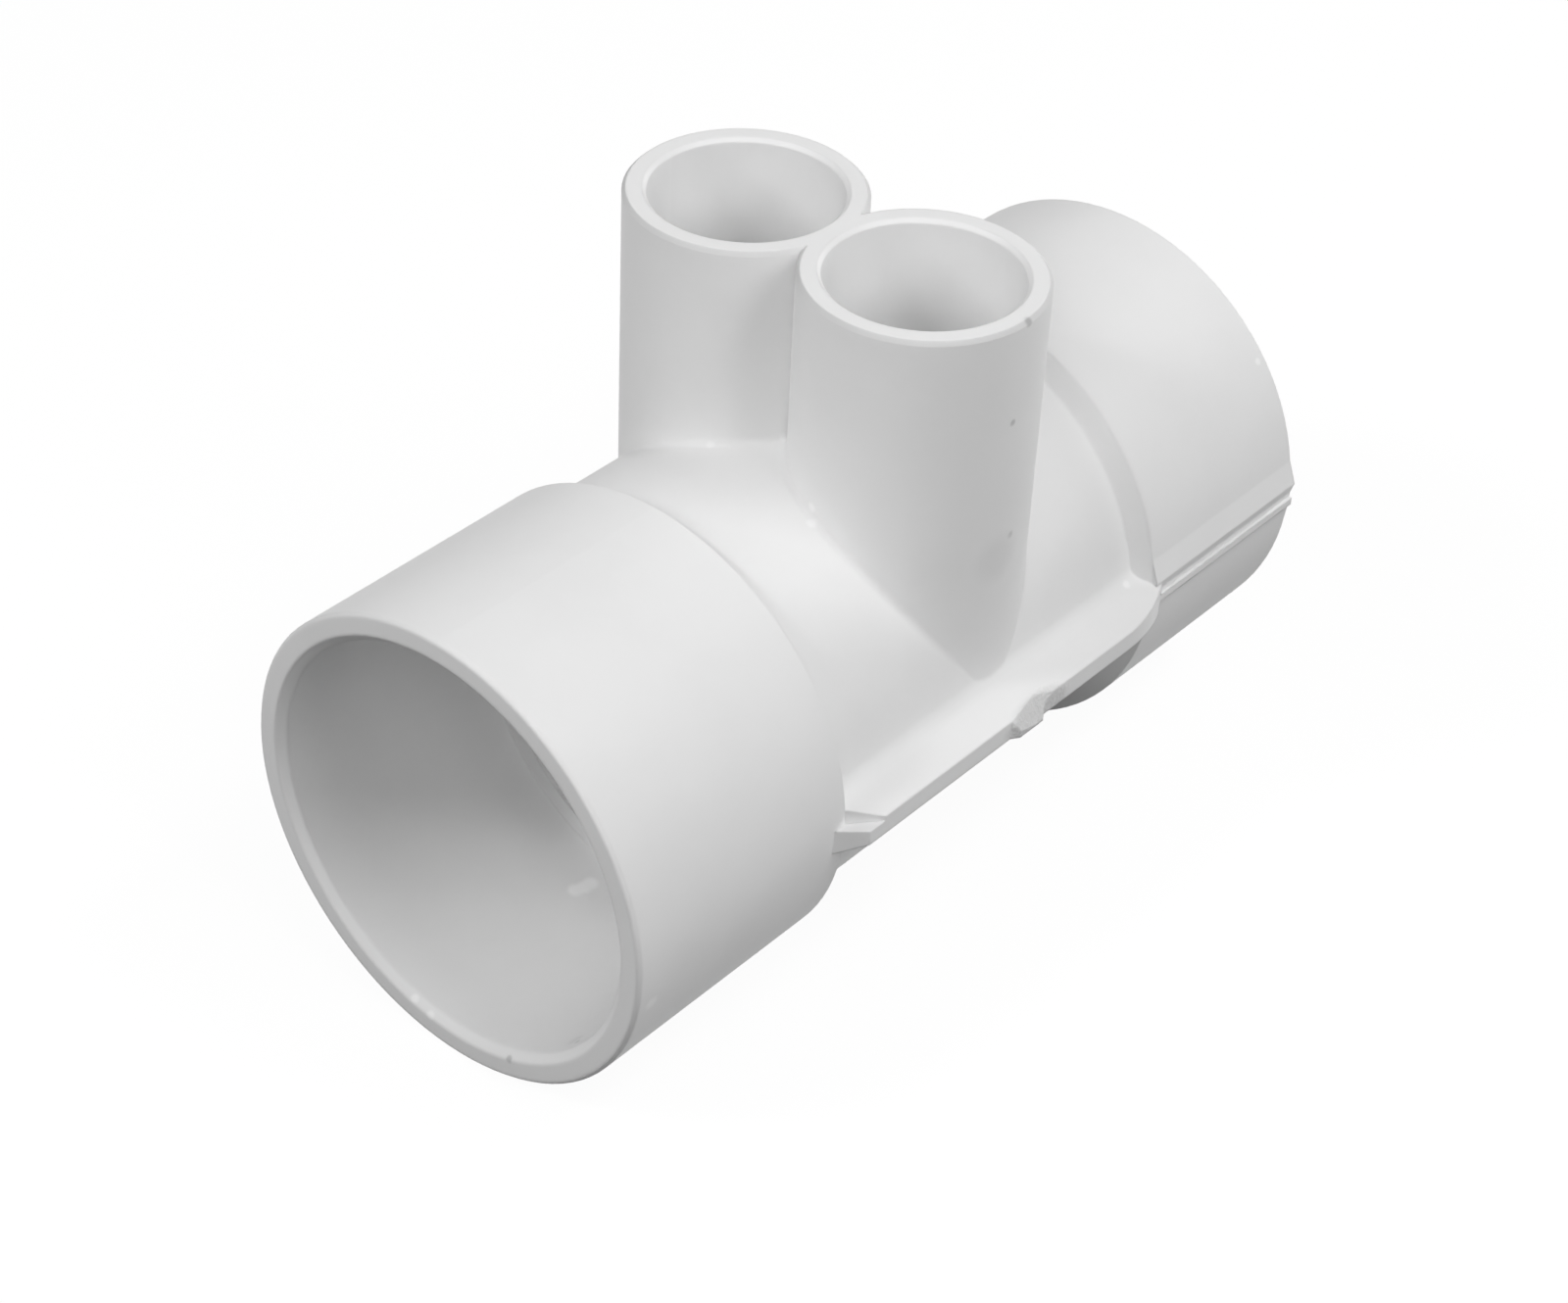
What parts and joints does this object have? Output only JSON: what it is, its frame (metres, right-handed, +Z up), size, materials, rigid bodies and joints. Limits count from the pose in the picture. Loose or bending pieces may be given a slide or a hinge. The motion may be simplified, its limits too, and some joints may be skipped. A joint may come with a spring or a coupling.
{
  "type": "pipe manifold",
  "caption": "Moulded white plastic pipe manifold: a straight run with a solvent-weld socket in each end and smaller sockets standing side by side on its middle.",
  "frame": {"origin": "on the run's axis, at the pipe stop of the near run socket, the one towards -X", "axes": "+X along the run towards the far socket, +Z up along the ports, +Y across the run towards the left port"},
  "size_m": [0.1432, 0.0766, 0.096],
  "materials": {
    "white_plastic": "moulded white, half gloss"
  },
  "bodies": {
    "root": {"manifold_body": "white_plastic"}
  },
  "joints": []
}
